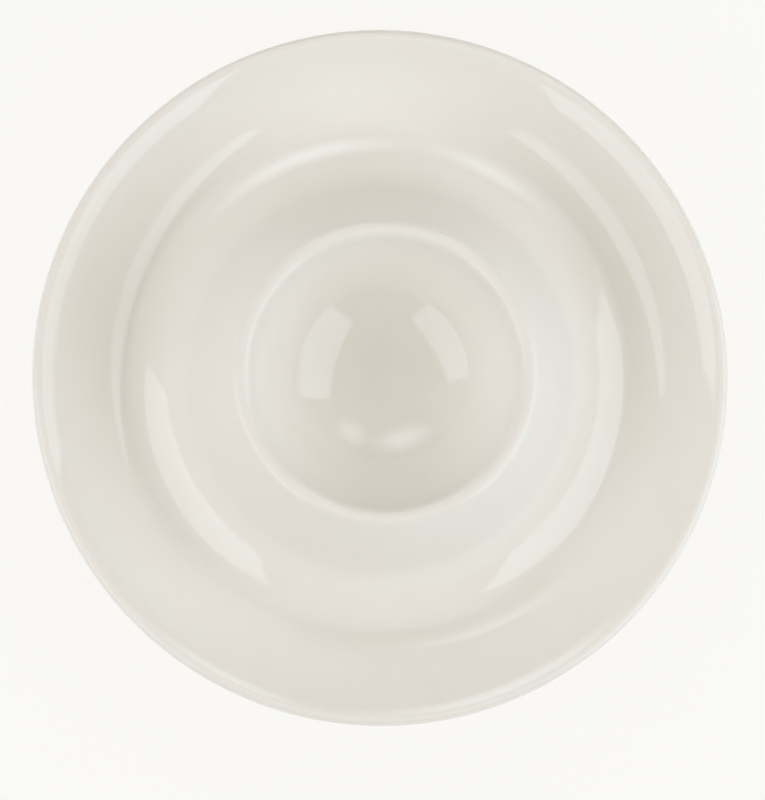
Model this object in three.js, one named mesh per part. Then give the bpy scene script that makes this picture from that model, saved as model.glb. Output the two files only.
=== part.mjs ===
import * as THREE from "three";

// A porcelain egg cup with its own saucer, made as two turned pieces and luted together with slip.
// Lengths are in millimetres and angles in degrees. Z is up, and the origin is on the axis at table level.

// Saucer
const SAUCER_DIAMETER = 125;
const LIP_THICKNESS = 2.5;
const LIP_RADIUS = 17.4; // the turned-out lip, on its upper face
const LIP_TURN = 11.9; // how far the lip flattens out from the wall's slope
const WALL_SPRING = 22.7; // slope of the wall where it leaves the joint
const WALL_SLOPE = 39.4; // slope of the wall where the lip begins
const SEAT_HEIGHT = 6.9; // the seat under the cup's foot, above the table
const FOOT_RING_WIDTH = 4.2;
const FOOT_RING_EDGE = 0.9; // rounding of the ring's two standing edges
const FOOT_RING_FILLET = 1.4; // where the ring grows out of the saucer

// Slip joint
const JOINT_DIAMETER = 90.7; // the lowest line of the fillet between cup and saucer
const JOINT_FILLET = 2.7;
const SLIP_THICKNESS = 0.5; // slip under the fillet's lowest line

// Cup
const CUP_HEIGHT = 27.6; // the rim above the table
const MOUTH_DIAMETER = 55.2; // over the rolled rim
const RIM_RADIUS = 1.85;
const BOWL_DEPTH = 19.3;
const BOWL_FLOOR_RADIUS = 26.6;
const BOWL_FLOOR_TURN = 35; // slope where the bowl's floor turns up into its side
const CUP_WALL = 3.2;
const SKIRT_STEEPENING = 19.6; // the skirt under the rim, steeper than the line from rim to joint
const SKIRT_FLARE = 22.5; // the skirt at its foot, flatter than that line
const HOLLOW_FILLET = 2.2; // the top of the hollow between skirt and bowl

// Roundness of the turned surfaces
const TURNED_SIDES = 60;
const CHORD_ERROR = 0.06;

const QUARTER = Math.PI / 2;
const radians = THREE.MathUtils.degToRad;
const point = (r, z) => new THREE.Vector2(r, z);
// The point at a distance and angle from a centre, in the half-section's plane.
const polar = (centre, radius, angle) =>
  point(centre.x + radius * Math.cos(angle), centre.y + radius * Math.sin(angle));
const bearing = (from, to) => Math.atan2(to.y - from.y, to.x - from.x);

// An arc as points from one angle to another, fine enough to stay within the chord error.
function arc(centre, radius, from, to) {
  const most = 2 * Math.acos(1 - CHORD_ERROR / radius);
  const steps = Math.ceil(Math.abs(to - from) / most);
  return Array.from({ length: steps + 1 }, (_, i) => polar(centre, radius, from + ((to - from) * i) / steps));
}

// A half-section turned about the Z axis.
function turned(name, section, material) {
  const outline = section.filter((p, i) => i === 0 || p.distanceTo(section[i - 1]) > CHORD_ERROR / 2);
  const mesh = new THREE.Mesh(new THREE.LatheGeometry(outline, TURNED_SIDES).rotateX(QUARTER), material);
  mesh.name = name;
  return mesh;
}

// The fillet of the joint, and the lines where the skirt and the saucer's wall run into it.
const fillet = point(JOINT_DIAMETER / 2, SEAT_HEIGHT + SLIP_THICKNESS + JOINT_FILLET);
const rim = point(MOUTH_DIAMETER / 2 - RIM_RADIUS, CUP_HEIGHT - RIM_RADIUS);
const chord = bearing(fillet, rim);
const skirtTop = Math.PI - chord + radians(SKIRT_STEEPENING);
const skirtFoot = Math.PI - chord - radians(SKIRT_FLARE);
const wallSpring = radians(WALL_SPRING);
const wallSlope = radians(WALL_SLOPE);
const lipSlope = wallSlope - radians(LIP_TURN);
const footEdge = polar(fillet, JOINT_FILLET, 3 * QUARTER - skirtFoot);
const wallEdge = polar(fillet, JOINT_FILLET, 3 * QUARTER + wallSpring);

// The skirt: a straight cone from the rim, then a cove that sweeps out to the foot.
const coneTop = polar(rim, RIM_RADIUS, QUARTER - skirtTop);
const run = footEdge.x - coneTop.x;
const fall = coneTop.y - footEdge.y;
const coveRun = Math.sin(skirtTop) - Math.sin(skirtFoot);
const coveFall = Math.cos(skirtFoot) - Math.cos(skirtTop);
const share = coveRun * Math.sin(skirtTop) - coveFall * Math.cos(skirtTop);
const coveRadius = (run * Math.sin(skirtTop) - fall * Math.cos(skirtTop)) / share;
const coneLength = (fall * coveRun - run * coveFall) / share;
const cove = polar(footEdge, coveRadius, QUARTER - skirtFoot);
const coneEnd = polar(coneTop, coneLength, -skirtTop);

// The bowl: a round floor, then a tighter curve up the side that runs into the rolled rim.
const floor = point(0, CUP_HEIGHT - BOWL_DEPTH + BOWL_FLOOR_RADIUS);
const floorEdge = radians(BOWL_FLOOR_TURN) - QUARTER;
const rollReach = BOWL_FLOOR_RADIUS + RIM_RADIUS;
const sideways = (floor.x - rim.x) * Math.cos(floorEdge) + (floor.y - rim.y) * Math.sin(floorEdge);
const shift = (rollReach * rollReach - floor.distanceToSquared(rim)) / (2 * (sideways + rollReach));
const bowl = polar(floor, shift, floorEdge);
const bowlRadius = BOWL_FLOOR_RADIUS - shift;
const bowlEdge = bearing(bowl, rim);

// The hollow under the cup, one wall's thickness inside the skirt and outside the bowl.
const outerBowl = bowlRadius + CUP_WALL;
const innerCove = coveRadius + CUP_WALL;
const reach = outerBowl + HOLLOW_FILLET;
const inset = polar(coneTop, -(CUP_WALL + HOLLOW_FILLET), QUARTER - skirtTop);
const along = (inset.x - bowl.x) * Math.cos(skirtTop) - (inset.y - bowl.y) * Math.sin(skirtTop);
const slack = inset.distanceToSquared(bowl) - reach * reach;
const hollowRun = -along + Math.sqrt(along * along - slack);
const coveReach = innerCove + HOLLOW_FILLET;
const centres = cove.distanceTo(bowl);
const swing = Math.acos((reach * reach + centres * centres - coveReach * coveReach) / (2 * reach * centres));
const hollow =
  hollowRun < coneLength ? polar(inset, hollowRun, -skirtTop) : polar(bowl, reach, bearing(bowl, cove) - swing);
const hollowSide = hollowRun < coneLength ? QUARTER - skirtTop : bearing(hollow, cove);
const footInner = cove.x - Math.sqrt(innerCove * innerCove - (cove.y - footEdge.y) * (cove.y - footEdge.y));
const coveInnerEnd = Math.atan2(footEdge.y - cove.y, footInner - cove.x) + 2 * Math.PI;
const coveInnerTop = hollowRun < coneLength ? 3 * QUARTER - skirtTop : bearing(cove, hollow) + 2 * Math.PI;

const cupSection = [
  ...arc(floor, BOWL_FLOOR_RADIUS + CUP_WALL, -QUARTER, floorEdge),
  ...arc(bowl, outerBowl, floorEdge, bearing(bowl, hollow)),
  ...arc(hollow, HOLLOW_FILLET, bearing(hollow, bowl), hollowSide),
  ...arc(cove, innerCove, coveInnerTop, coveInnerEnd),
  point(footInner, footEdge.y),
  ...arc(cove, coveRadius, 3 * QUARTER - skirtFoot, 3 * QUARTER - skirtTop),
  coneEnd,
  ...arc(rim, RIM_RADIUS, QUARTER - skirtTop, QUARTER),
  ...arc(rim, RIM_RADIUS, QUARTER, Math.PI + bowlEdge),
  ...arc(bowl, bowlRadius, bowlEdge, floorEdge),
  ...arc(floor, BOWL_FLOOR_RADIUS, floorEdge, -QUARTER),
];
cupSection[0].x = 0;
cupSection[cupSection.length - 1].x = 0;

// The slip fills the step between the cup's foot and the saucer's wall, and shows as the fillet.
const slipSection = [
  point(footInner, SEAT_HEIGHT),
  point(wallEdge.x, SEAT_HEIGHT),
  ...arc(fillet, JOINT_FILLET, 3 * QUARTER + wallSpring, 3 * QUARTER - skirtFoot),
  point(footInner, footEdge.y),
  point(footInner, SEAT_HEIGHT),
];

// The saucer's wall hollows upwards from the joint, and the lip rounds over to its edge.
const edge = LIP_THICKNESS / 2;
const lipEnd = SAUCER_DIAMETER / 2 - edge - edge * Math.sin(lipSlope);
const lipStart = lipEnd - LIP_RADIUS * (Math.sin(wallSlope) - Math.sin(lipSlope));
const wallRadius = (lipStart - wallEdge.x) / (Math.sin(wallSlope) - Math.sin(wallSpring));
const wall = polar(wallEdge, wallRadius, QUARTER + wallSpring);
const lipFoot = polar(wall, wallRadius, 3 * QUARTER + wallSlope);
const lip = polar(lipFoot, -LIP_RADIUS, QUARTER + wallSlope);
const lipEdge = polar(lip, LIP_RADIUS - edge, QUARTER + lipSlope);

// Under the saucer the same curves run one thickness lower, down to the foot ring.
const underWall = wallRadius + LIP_THICKNESS;
const ringOuter = footInner + FOOT_RING_WIDTH;
const ringRoot = point(ringOuter + FOOT_RING_FILLET, 0);
const rootReach = underWall + FOOT_RING_FILLET;
ringRoot.y = wall.y - Math.sqrt(rootReach * rootReach - (ringRoot.x - wall.x) * (ringRoot.x - wall.x));
const ringOuterEdge = point(ringOuter - FOOT_RING_EDGE, FOOT_RING_EDGE);
const ringInnerEdge = point(footInner + FOOT_RING_EDGE, FOOT_RING_EDGE);

const saucerSection = [
  ...arc(ringInnerEdge, FOOT_RING_EDGE, 2 * QUARTER, 3 * QUARTER),
  ...arc(ringOuterEdge, FOOT_RING_EDGE, 3 * QUARTER, 4 * QUARTER),
  ...arc(ringRoot, FOOT_RING_FILLET, 2 * QUARTER, bearing(ringRoot, wall)),
  ...arc(wall, underWall, bearing(wall, ringRoot) + 4 * QUARTER, 3 * QUARTER + wallSlope),
  ...arc(lip, LIP_RADIUS - LIP_THICKNESS, QUARTER + wallSlope, QUARTER + lipSlope),
  ...arc(lipEdge, edge, lipSlope - QUARTER, 0),
  ...arc(lipEdge, edge, 0, QUARTER + lipSlope),
  ...arc(lip, LIP_RADIUS, QUARTER + lipSlope, QUARTER + wallSlope),
  ...arc(wall, wallRadius, 3 * QUARTER + wallSlope, 3 * QUARTER + wallSpring),
  point(wallEdge.x, SEAT_HEIGHT),
  point(footInner, SEAT_HEIGHT),
  point(footInner, FOOT_RING_EDGE),
];

const glaze = (color) => new THREE.MeshStandardMaterial({ color, roughness: 0.12, metalness: 0 });

const eggCup = new THREE.Group();
eggCup.name = "egg_cup";
eggCup.add(turned("saucer", saucerSection, glaze(0xe0dcd3)));
eggCup.add(turned("slip_joint", slipSection, glaze(0xdcd7cc)));
eggCup.add(turned("cup", cupSection, glaze(0xe1ddd4)));

export default eggCup;
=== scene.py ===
import math

import bpy
from mathutils import Matrix, Vector


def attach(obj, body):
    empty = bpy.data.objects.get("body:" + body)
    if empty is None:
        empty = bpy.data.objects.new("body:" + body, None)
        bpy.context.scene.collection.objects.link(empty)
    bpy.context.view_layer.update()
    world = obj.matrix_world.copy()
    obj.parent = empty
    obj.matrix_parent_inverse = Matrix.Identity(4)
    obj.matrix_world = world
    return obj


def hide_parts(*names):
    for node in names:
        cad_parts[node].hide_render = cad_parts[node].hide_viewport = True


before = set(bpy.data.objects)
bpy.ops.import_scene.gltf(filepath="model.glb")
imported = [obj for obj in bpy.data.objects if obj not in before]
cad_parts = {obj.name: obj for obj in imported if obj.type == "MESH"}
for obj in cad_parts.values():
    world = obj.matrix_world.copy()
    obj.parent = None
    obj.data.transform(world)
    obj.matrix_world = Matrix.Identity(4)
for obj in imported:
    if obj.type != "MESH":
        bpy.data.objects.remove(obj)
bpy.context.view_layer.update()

# The cup
# The egg's bowl with its rolled rim and the skirt flaring to a flat foot, turned as one piece.
# Cream porcelain about three millimetres thick, hollow underneath, with a clear gloss glaze.
MM = 0.001
QUARTER = math.pi / 2
CUP_HEIGHT = 27.6
MOUTH_DIAMETER = 55.2
RIM_RADIUS = 1.85
BOWL_DEPTH = 19.3
BOWL_FLOOR_RADIUS = 26.6
BOWL_FLOOR_TURN = math.radians(36.3)
BOWL_TURN_RADIUS = 2.5
BOWL_SIDE_FOOT = math.radians(46)
BOWL_SIDE_SLOPE = math.radians(68.5)
CUP_WALL = 3.2
SKIRT_STEEPENING = math.radians(19.6)
SKIRT_FLARE = math.radians(22.5)
HOLLOW_FILLET = 2.2
JOINT_DIAMETER = 90.7
JOINT_FILLET = 2.7
JOINT_BOTTOM = 7.4
TURNED_SIDES = 192
ARC_STEP = math.radians(1.5)
FLANK_STEP = 1.0
BED_STEP = 2.0  # on the faces that are bedded together in the joint
SAME_POINT = 1e-4
SHARP_CORNER = math.radians(30)
CREAM = (0.874, 0.846, 0.786)
CREAM_DEEP = (0.868, 0.838, 0.775)
CREAM_SPAN = (0.35, 0.6)
CREAM_CLOUDS = {"per_metre": 160.0, "detail": 4.0}
GLAZE_IOR = 1.48
GLAZE_ROUGHNESS = (0.055, 0.08)
GLOSS_CLOUDS = {"per_metre": 90.0, "detail": 2.0}
SWELL_CLOUDS = {"per_metre": 45.0, "detail": 1.0}
SWELL_STRENGTH = 1.0
SWELL_HEIGHT = 0.01


def at(centre, radius, angle):
    """The point of the half-section at this distance and angle from a centre."""
    return (centre[0] + radius * math.cos(angle), centre[1] + radius * math.sin(angle))


def bearing(start, end):
    """The angle of the line from one point of the half-section to another."""
    return math.atan2(end[1] - start[1], end[0] - start[0])


def sweep(centre, radius, start, end):
    """An arc of the half-section as closely spaced points."""
    steps = max(3, math.ceil(abs(end - start) / ARC_STEP))
    return [at(centre, radius, start + (end - start) * i / steps) for i in range(steps + 1)]


def straight(start, end, step):
    """A straight run of the half-section as points about one step apart."""
    steps = max(1, math.ceil(math.dist(start, end) / step))
    return [
        tuple(a + (b - a) * i / steps for a, b in zip(start, end))
        for i in range(steps + 1)
    ]


def turn(name, section, material):
    """A half-section in millimetres turned about Z into a closed body of porcelain."""
    line = [
        point for i, point in enumerate(section)
        if i == 0 or math.dist(point, section[i - 1]) > SAME_POINT
    ]
    ring = line[0][0] > SAME_POINT
    if ring and math.dist(line[0], line[-1]) < SAME_POINT:
        line.pop()
    verts, rows = [], []
    for r, z in line:
        on_axis = r < SAME_POINT
        rows.append([len(verts) + (0 if on_axis else k) for k in range(TURNED_SIDES)])
        for k in range(1 if on_axis else TURNED_SIDES):
            angle = 2 * math.pi * k / TURNED_SIDES
            spread = 0 if on_axis else r * MM
            verts.append((spread * math.cos(angle), spread * math.sin(angle), z * MM))
    faces = []
    for low, high in zip(rows, rows[1:] + (rows[:1] if ring else [])):
        for k in range(TURNED_SIDES):
            n = (k + 1) % TURNED_SIDES
            loop = [low[k], low[n], high[n], high[k]]
            faces.append([v for i, v in enumerate(loop) if v != loop[i - 1]])
    mesh = bpy.data.meshes.new(name)
    mesh.from_pydata(verts, [], faces)
    mesh.shade_smooth()
    mesh.set_sharp_from_angle(angle=SHARP_CORNER)
    mesh.materials.append(material)
    body = bpy.data.objects.new(name, mesh)
    bpy.context.scene.collection.objects.link(body)
    return body


def clouds(material, per_metre, detail):
    """A soft uneven field fixed to the piece, with about this many clouds to the metre."""
    nodes, links = material.node_tree.nodes, material.node_tree.links
    field = nodes.new("ShaderNodeTexNoise")
    field.inputs["Scale"].default_value = per_metre
    field.inputs["Detail"].default_value = detail
    links.new(nodes.new("ShaderNodeTexCoord").outputs["Object"], field.inputs["Vector"])
    return field.outputs["Fac"]


def tint(material, field, span, deep, pale):
    """Colours the body from deep to pale as the field goes through its span."""
    nodes, links = material.node_tree.nodes, material.node_tree.links
    tone = nodes.new("ShaderNodeValToRGB")
    for stop, position, colour in zip(tone.color_ramp.elements, span, (deep, pale)):
        stop.position = position
        stop.color = (*colour, 1)
    links.new(field, tone.inputs["Fac"])
    links.new(tone.outputs["Color"], nodes["Principled BSDF"].inputs["Base Color"])


def raise_surface(material, field, strength, height):
    """Lets the surface rise and fall with the field, by a height in millimetres."""
    nodes, links = material.node_tree.nodes, material.node_tree.links
    relief = nodes.new("ShaderNodeBump")
    relief.inputs["Strength"].default_value = strength
    relief.inputs["Distance"].default_value = height * MM
    links.new(field, relief.inputs["Height"])
    links.new(relief.outputs["Normal"], nodes["Principled BSDF"].inputs["Normal"])


def glaze(name):
    """Clear gloss glaze over faintly clouded cream porcelain, its surface waving a little."""
    material = bpy.data.materials.new(name)
    material.use_nodes = True
    nodes, links = material.node_tree.nodes, material.node_tree.links
    shader = nodes["Principled BSDF"]
    shader.inputs["IOR"].default_value = GLAZE_IOR
    tint(material, clouds(material, **CREAM_CLOUDS), CREAM_SPAN, CREAM_DEEP, CREAM)
    gloss = nodes.new("ShaderNodeMapRange")
    gloss.inputs["To Min"].default_value = min(GLAZE_ROUGHNESS)
    gloss.inputs["To Max"].default_value = max(GLAZE_ROUGHNESS)
    links.new(clouds(material, **GLOSS_CLOUDS), gloss.inputs["Value"])
    links.new(gloss.outputs["Result"], shader.inputs["Roughness"])
    raise_surface(material, clouds(material, **SWELL_CLOUDS), SWELL_STRENGTH, SWELL_HEIGHT)
    return material


# The skirt's outside: straight down from the rim, then a cove that sweeps out to the foot.
rim = (MOUTH_DIAMETER / 2 - RIM_RADIUS, CUP_HEIGHT - RIM_RADIUS)
fillet = (JOINT_DIAMETER / 2, JOINT_BOTTOM + JOINT_FILLET)
chord = math.pi - bearing(fillet, rim)
skirt_top = chord + SKIRT_STEEPENING
skirt_foot = chord - SKIRT_FLARE
foot_edge = at(fillet, JOINT_FILLET, 3 * QUARTER - skirt_foot)
cone_top = at(rim, RIM_RADIUS, QUARTER - skirt_top)
run, fall = foot_edge[0] - cone_top[0], cone_top[1] - foot_edge[1]
cove_run = math.sin(skirt_top) - math.sin(skirt_foot)
cove_fall = math.cos(skirt_foot) - math.cos(skirt_top)
share = cove_run * math.sin(skirt_top) - cove_fall * math.cos(skirt_top)
cove_radius = (run * math.sin(skirt_top) - fall * math.cos(skirt_top)) / share
cone_length = (fall * cove_run - run * cove_fall) / share
cove = at(foot_edge, cove_radius, QUARTER - skirt_foot)
cone_end = at(cone_top, cone_length, -skirt_top)

# The bowl's inside: a round floor, a short tighter turn, the side, and a straight flank to the rim.
floor = (0.0, CUP_HEIGHT - BOWL_DEPTH + BOWL_FLOOR_RADIUS)
floor_edge = BOWL_FLOOR_TURN - QUARTER
turn_edge = BOWL_SIDE_FOOT - QUARTER
bowl_edge = BOWL_SIDE_SLOPE - QUARTER
floor_turn = at(floor, BOWL_FLOOR_RADIUS - BOWL_TURN_RADIUS, floor_edge)
side_top = at(rim, RIM_RADIUS, math.pi + bowl_edge)
side_out = math.dist(floor_turn, side_top) * math.cos(bearing(floor_turn, side_top) - bowl_edge)
swing = math.cos(bowl_edge - turn_edge)
bowl_radius = (side_out - BOWL_TURN_RADIUS * swing) / (1 - swing)
bowl = at(floor_turn, BOWL_TURN_RADIUS - bowl_radius, turn_edge)
side_foot = at(bowl, bowl_radius, bowl_edge)

# The hollow underneath, one wall's thickness from the skirt and from the bowl.
outer_bowl = bowl_radius + CUP_WALL
inner_cove = cove_radius + CUP_WALL
inset = at(cone_top, -(CUP_WALL + HOLLOW_FILLET), QUARTER - skirt_top)
along = math.dist(bowl, inset) * math.cos(bearing(bowl, inset) + skirt_top)
slack = math.dist(bowl, inset) ** 2 - (outer_bowl + HOLLOW_FILLET) ** 2
hollow = at(inset, math.sqrt(along ** 2 - slack) - along, -skirt_top)
foot_inner = cove[0] - math.sqrt(inner_cove ** 2 - (cove[1] - foot_edge[1]) ** 2)
cove_end = bearing(cove, (foot_inner, foot_edge[1])) + 4 * QUARTER

cup = turn("cup_porcelain", [
    (0.0, floor[1] - BOWL_FLOOR_RADIUS - CUP_WALL),
    *sweep(floor, BOWL_FLOOR_RADIUS + CUP_WALL, -QUARTER, floor_edge)[1:],
    *sweep(floor_turn, BOWL_TURN_RADIUS + CUP_WALL, floor_edge, turn_edge),
    *sweep(bowl, outer_bowl, turn_edge, bearing(bowl, hollow)),
    *sweep(hollow, HOLLOW_FILLET, bearing(hollow, bowl), QUARTER - skirt_top),
    *sweep(cove, inner_cove, 3 * QUARTER - skirt_top, cove_end),
    *straight((foot_inner, foot_edge[1]), foot_edge, BED_STEP),
    *sweep(cove, cove_radius, 3 * QUARTER - skirt_foot, 3 * QUARTER - skirt_top),
    *straight(cone_end, cone_top, FLANK_STEP),
    *sweep(rim, RIM_RADIUS, QUARTER - skirt_top, QUARTER),
    *sweep(rim, RIM_RADIUS, QUARTER, math.pi + bowl_edge),
    *straight(side_top, side_foot, FLANK_STEP),
    *sweep(bowl, bowl_radius, bowl_edge, turn_edge),
    *sweep(floor_turn, BOWL_TURN_RADIUS, turn_edge, floor_edge),
    *sweep(floor, BOWL_FLOOR_RADIUS, floor_edge, -QUARTER)[:-1],
    (0.0, floor[1] - BOWL_FLOOR_RADIUS),
], glaze("cup_glaze"))
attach(cup, "root")
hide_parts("cup")

# The slip joint
# A ring of liquid clay between the cup's foot and the saucer's seat, fired hard and glazed over.
# It shows as the fillet that was sponged smooth where skirt and saucer meet.
SEAT_HEIGHT = 6.9
WALL_SPRING = math.radians(19.6)
wall_edge = at(fillet, JOINT_FILLET, 3 * QUARTER + WALL_SPRING)
slip = turn("slip_fillet", [
    *straight((foot_inner, SEAT_HEIGHT), (wall_edge[0], SEAT_HEIGHT), BED_STEP),
    *sweep(fillet, JOINT_FILLET, 3 * QUARTER + WALL_SPRING, 3 * QUARTER - skirt_foot),
    *straight(foot_edge, (foot_inner, foot_edge[1]), BED_STEP),
    (foot_inner, SEAT_HEIGHT),
], glaze("slip_glaze"))
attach(slip, "root")
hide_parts("slip_joint")

# The saucer
# A broad shallow dish with a turned-out lip, open in the middle under the cup, on a foot ring.
# Cream porcelain like the cup, glazed all over but for the ring's standing face, wiped bare.
SAUCER_DIAMETER = 125.0
LIP_THICKNESS = 2.5
LIP_RADIUS = 17.4
LIP_TURN = math.radians(11.9)
WALL_SLOPE = math.radians(39.4)
WALL_RADIUS = 29.6
FOOT_RING_WIDTH = 4.2
FOOT_RING_EDGE = 0.9
FOOT_RING_FILLET = 1.4
BARE_HEIGHT = 0.5
BISQUE = (0.72, 0.66, 0.57)
BISQUE_DARK = (0.64, 0.57, 0.47)
BISQUE_SPAN = (0.3, 0.6)
BISQUE_GRAIN = {"per_metre": 900.0, "detail": 4.0}
BISQUE_ROUGHNESS = 0.85
TOOTH_STRENGTH = 0.4
TOOTH_HEIGHT = 0.1

lip_slope = WALL_SLOPE - LIP_TURN
edge = LIP_THICKNESS / 2
lip_end = SAUCER_DIAMETER / 2 - edge - edge * math.sin(lip_slope)
lip_start = lip_end - LIP_RADIUS * (math.sin(WALL_SLOPE) - math.sin(lip_slope))
wall = at(wall_edge, WALL_RADIUS, QUARTER + WALL_SPRING)
wall_end = at(wall, WALL_RADIUS, 3 * QUARTER + WALL_SLOPE)
lip_foot = (lip_start, wall_end[1] + (lip_start - wall_end[0]) * math.tan(WALL_SLOPE))
lip = at(lip_foot, -LIP_RADIUS, QUARTER + WALL_SLOPE)
lip_edge = at(lip, LIP_RADIUS - edge, QUARTER + lip_slope)
under_wall = WALL_RADIUS + LIP_THICKNESS
ring_outer = foot_inner + FOOT_RING_WIDTH
root_reach = under_wall + FOOT_RING_FILLET
root_out = ring_outer + FOOT_RING_FILLET
ring_root = (root_out, wall[1] - math.sqrt(root_reach ** 2 - (root_out - wall[0]) ** 2))
ring_outer_edge = (ring_outer - FOOT_RING_EDGE, FOOT_RING_EDGE)
ring_inner_edge = (foot_inner + FOOT_RING_EDGE, FOOT_RING_EDGE)

saucer = turn("saucer_porcelain", [
    *sweep(ring_inner_edge, FOOT_RING_EDGE, 2 * QUARTER, 3 * QUARTER),
    *sweep(ring_outer_edge, FOOT_RING_EDGE, 3 * QUARTER, 4 * QUARTER),
    *sweep(ring_root, FOOT_RING_FILLET, 2 * QUARTER, bearing(ring_root, wall)),
    *sweep(wall, under_wall, bearing(wall, ring_root) + 4 * QUARTER, 3 * QUARTER + WALL_SLOPE),
    *sweep(lip, LIP_RADIUS - LIP_THICKNESS, QUARTER + WALL_SLOPE, QUARTER + lip_slope),
    *sweep(lip_edge, edge, lip_slope - QUARTER, 0),
    *sweep(lip_edge, edge, 0, QUARTER + lip_slope),
    *sweep(lip, LIP_RADIUS, QUARTER + lip_slope, QUARTER + WALL_SLOPE),
    *sweep(wall, WALL_RADIUS, 3 * QUARTER + WALL_SLOPE, 3 * QUARTER + WALL_SPRING),
    *straight((wall_edge[0], SEAT_HEIGHT), (foot_inner, SEAT_HEIGHT), BED_STEP),
    *straight((foot_inner, SEAT_HEIGHT), (foot_inner, FOOT_RING_EDGE), FLANK_STEP),
], glaze("saucer_glaze"))

bisque = bpy.data.materials.new("bare_porcelain")
bisque.use_nodes = True
bisque.node_tree.nodes["Principled BSDF"].inputs["Roughness"].default_value = BISQUE_ROUGHNESS
grain = clouds(bisque, **BISQUE_GRAIN)
tint(bisque, grain, BISQUE_SPAN, BISQUE_DARK, BISQUE)
raise_surface(bisque, grain, TOOTH_STRENGTH, TOOTH_HEIGHT)
saucer.data.materials.append(bisque)
for face in saucer.data.polygons:
    if face.center.z < BARE_HEIGHT * MM:
        face.material_index = 1
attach(saucer, "root")
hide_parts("saucer")

# The table
# A plain white sheet under and behind the egg cup, with only a faint shadow on it.
# From underneath it is clear, so that the foot ring and the hollow can be looked at.
SHEET = (0.960, 0.952, 0.926)
SHEET_HALF = 30000.0
SHEET_LEVEL = -0.02
SHEET_SHOWN = 0.93
sheet_mesh = bpy.data.meshes.new("table_sheet")
sheet_mesh.from_pydata([
    (x * SHEET_HALF * MM, y * SHEET_HALF * MM, SHEET_LEVEL * MM)
    for x, y in ((-1, -1), (1, -1), (1, 1), (-1, 1))
], [], [(0, 1, 2, 3)])
table_sheet = bpy.data.objects.new("table_sheet", sheet_mesh)
bpy.context.scene.collection.objects.link(table_sheet)
paper = bpy.data.materials.new("white_sheet")
paper.use_nodes = True
nodes, links = paper.node_tree.nodes, paper.node_tree.links
nodes.remove(nodes["Principled BSDF"])
matt = nodes.new("ShaderNodeBsdfDiffuse")
matt.inputs["Color"].default_value = (*SHEET, 1)
shown = nodes.new("ShaderNodeEmission")
shown.inputs["Color"].default_value = (*SHEET, 1)

# Where it is looked at, straight on or in a gloss, the sheet is mostly an even white.
path = nodes.new("ShaderNodeLightPath")
seen = path.outputs["Is Camera Ray"]
for kind in ("Is Glossy Ray", "Is Transmission Ray"):
    either = nodes.new("ShaderNodeMath")
    either.operation = "MAXIMUM"
    links.new(seen, either.inputs[0])
    links.new(path.outputs[kind], either.inputs[1])
    seen = either.outputs[0]
part_shown = nodes.new("ShaderNodeMath")
part_shown.operation = "MULTIPLY"
part_shown.inputs[1].default_value = SHEET_SHOWN
links.new(seen, part_shown.inputs[0])
mixed = nodes.new("ShaderNodeMixShader")
links.new(part_shown.outputs[0], mixed.inputs["Fac"])
links.new(matt.outputs[0], mixed.inputs[1])
links.new(shown.outputs[0], mixed.inputs[2])
from_below = nodes.new("ShaderNodeMixShader")
links.new(nodes.new("ShaderNodeNewGeometry").outputs["Backfacing"], from_below.inputs["Fac"])
links.new(mixed.outputs[0], from_below.inputs[1])
links.new(nodes.new("ShaderNodeBsdfTransparent").outputs[0], from_below.inputs[2])
links.new(from_below.outputs[0], nodes["Material Output"].inputs["Surface"])
sheet_mesh.materials.append(paper)

# The studio
# Two softboxes stand low at the right and the left and two small lamps behind.
# The room itself is dim, lightest overhead and toward the left, and dark in front near the table.
ROOM_GLOWS = (  # where each glow comes from, how narrow it is, and its colour
    ((0, 0, 1), 1.0, (0.615, 0.477, 0.091)),
    ((0, 0, 1), 3.0, (0.0, 0.106, 0.489)),
    ((-1, 0, 0), 1.5, (0.466, 0.470, 0.555)),
    ((0, 1, 0), 1.5, (0.102, 0.090, 0.105)),
)
LAMP_DISTANCE = 1000.0
scene = bpy.context.scene
world = bpy.data.worlds.new("dim_room")
world.use_nodes = True
scene.world = world
nodes, links = world.node_tree.nodes, world.node_tree.links
way = nodes.new("ShaderNodeTexCoord").outputs["Generated"]
lit = None
for brightest, narrowness, colour in ROOM_GLOWS:
    nearness = nodes.new("ShaderNodeVectorMath")
    nearness.operation = "DOT_PRODUCT"
    nearness.inputs[1].default_value = brightest
    links.new(way, nearness.inputs[0])
    forward = nodes.new("ShaderNodeMath")
    forward.operation = "MAXIMUM"
    forward.inputs[1].default_value = 0.0
    links.new(nearness.outputs["Value"], forward.inputs[0])
    glow = nodes.new("ShaderNodeMath")
    glow.operation = "POWER"
    glow.inputs[1].default_value = narrowness
    links.new(forward.outputs[0], glow.inputs[0])
    added = nodes.new("ShaderNodeVectorMath")
    added.operation = "MULTIPLY_ADD"
    added.inputs[1].default_value = colour
    links.new(glow.outputs[0], added.inputs[0])
    if lit:
        links.new(lit, added.inputs[2])
    lit = added.outputs["Vector"]
links.new(lit, nodes["Background"].inputs["Color"])


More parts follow.
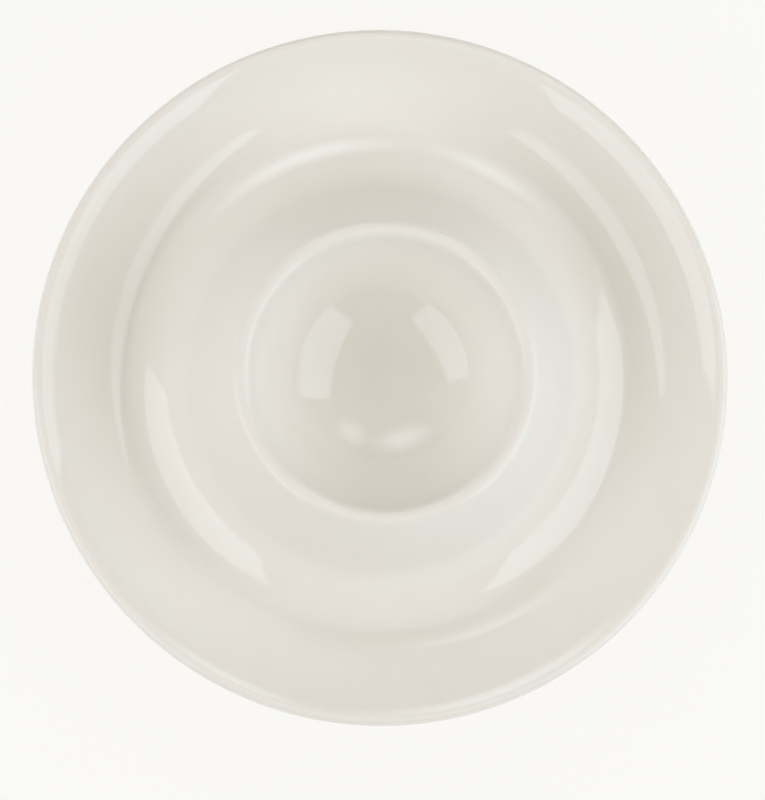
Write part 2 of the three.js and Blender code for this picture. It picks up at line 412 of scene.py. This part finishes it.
def softbox(name, azimuth, width, top, bottom, roll, radiance):
    """An even lit panel facing the egg cup, placed by its angles in degrees as seen from there.

    The azimuth is counted from the right, and top and bottom from straight overhead.
    """
    distance = LAMP_DISTANCE * MM
    around, tilt = math.radians(azimuth), math.radians((top + bottom) / 2)
    side = Vector((-math.sin(around), math.cos(around), 0))
    out = Vector((math.cos(around), math.sin(around), 0)) * math.sin(tilt)
    out.z = math.cos(tilt)
    lamp = bpy.data.lights.new(name, "AREA")
    lamp.shape = "RECTANGLE"
    lamp.size = 2 * math.tan(math.radians(width / 2)) * math.sin(tilt) * distance
    lamp.size_y = 2 * math.tan(math.radians((bottom - top) / 2)) * distance
    lamp.color = [level / max(radiance) for level in radiance]
    lamp.energy = max(radiance) * math.pi * lamp.size * lamp.size_y
    holder = bpy.data.objects.new(name, lamp)
    facing = Matrix((side, out.cross(side), out)).transposed()
    rolled = facing @ Matrix.Rotation(math.radians(roll), 3, "Z")
    holder.matrix_world = Matrix.Translation(out * distance) @ rolled.to_4x4()
    scene.collection.objects.link(holder)
    return lamp


def soften(lamp):
    """Fades a lamp from its middle to nothing at its edge."""
    lamp.use_nodes = True
    nodes, links = lamp.node_tree.nodes, lamp.node_tree.links
    across = nodes.new("ShaderNodeVectorMath")  # from -1 at one edge to 1 at the other
    across.operation = "MULTIPLY_ADD"
    across.inputs[1].default_value = (2, 2, 0)
    across.inputs[2].default_value = (-1, -1, 0)
    links.new(nodes.new("ShaderNodeNewGeometry").outputs["Parametric"], across.inputs[0])
    away = nodes.new("ShaderNodeVectorMath")
    away.operation = "LENGTH"
    links.new(across.outputs["Vector"], away.inputs[0])
    fade = nodes.new("ShaderNodeMapRange")
    fade.interpolation_type = "SMOOTHSTEP"
    fade.inputs["To Min"].default_value = 1
    fade.inputs["To Max"].default_value = 0
    links.new(away.outputs["Value"], fade.inputs["Value"])
    links.new(fade.outputs["Result"], nodes["Emission"].inputs["Strength"])


softbox(
    "softbox_right", azimuth=-16.8, width=68.2, top=38.4, bottom=83.5, roll=0.8,
    radiance=(1.79, 2.00, 2.39),
)
softbox(
    "softbox_left", azimuth=-151.5, width=63.1, top=42.5, bottom=75.0, roll=2.7,
    radiance=(1.64, 1.81, 2.13),
)
soften(softbox(
    "lamp_back_left", azimuth=104.7, width=62.0, top=38.5, bottom=66.5, roll=0.0,
    radiance=(2.80, 3.15, 3.85),
))
soften(softbox(
    "lamp_back_right", azimuth=59.9, width=38.0, top=39.5, bottom=66.0, roll=0.0,
    radiance=(2.25, 2.60, 2.85),
))

# The camera
# It looks almost straight down on the egg cup, a little from the front left.
# The saucer nearly fills the frame, its middle above the middle of the picture.
CAMERA_DISTANCE = 900.0
LEAN_LEFT = math.radians(3.9)
LEAN_FRONT = math.radians(3.2)
IMAGE_WIDTH, IMAGE_HEIGHT = 765, 800
SAUCER_PIXELS = 348.6  # from the saucer's middle to its edge
CENTRE_X, CENTRE_Y = 381.65, 376.7
SENSOR = 36.0
toward = Vector((-math.tan(LEAN_LEFT), -math.tan(LEAN_FRONT), 1)).normalized()
picture_up = Vector((0, 1, 0))
right = picture_up.cross(toward).normalized()
looking = Matrix((right, toward.cross(right), toward)).transposed()
standing = Vector((0, 0, lip_edge[1])) + toward * CAMERA_DISTANCE
pixel = SAUCER_DIAMETER / 2 / SAUCER_PIXELS
camera = bpy.data.objects.new("camera", bpy.data.cameras.new("camera"))
camera.matrix_world = Matrix.Translation(standing * MM) @ looking.to_4x4()
camera.data.sensor_fit = "VERTICAL"
camera.data.sensor_height = SENSOR
camera.data.lens = SENSOR * CAMERA_DISTANCE / (IMAGE_HEIGHT * pixel)
camera.data.shift_x = (IMAGE_WIDTH / 2 - CENTRE_X) / IMAGE_HEIGHT
camera.data.shift_y = (CENTRE_Y - IMAGE_HEIGHT / 2) / IMAGE_HEIGHT
scene.collection.objects.link(camera)
scene.camera = camera
scene.view_settings.view_transform = "Standard"
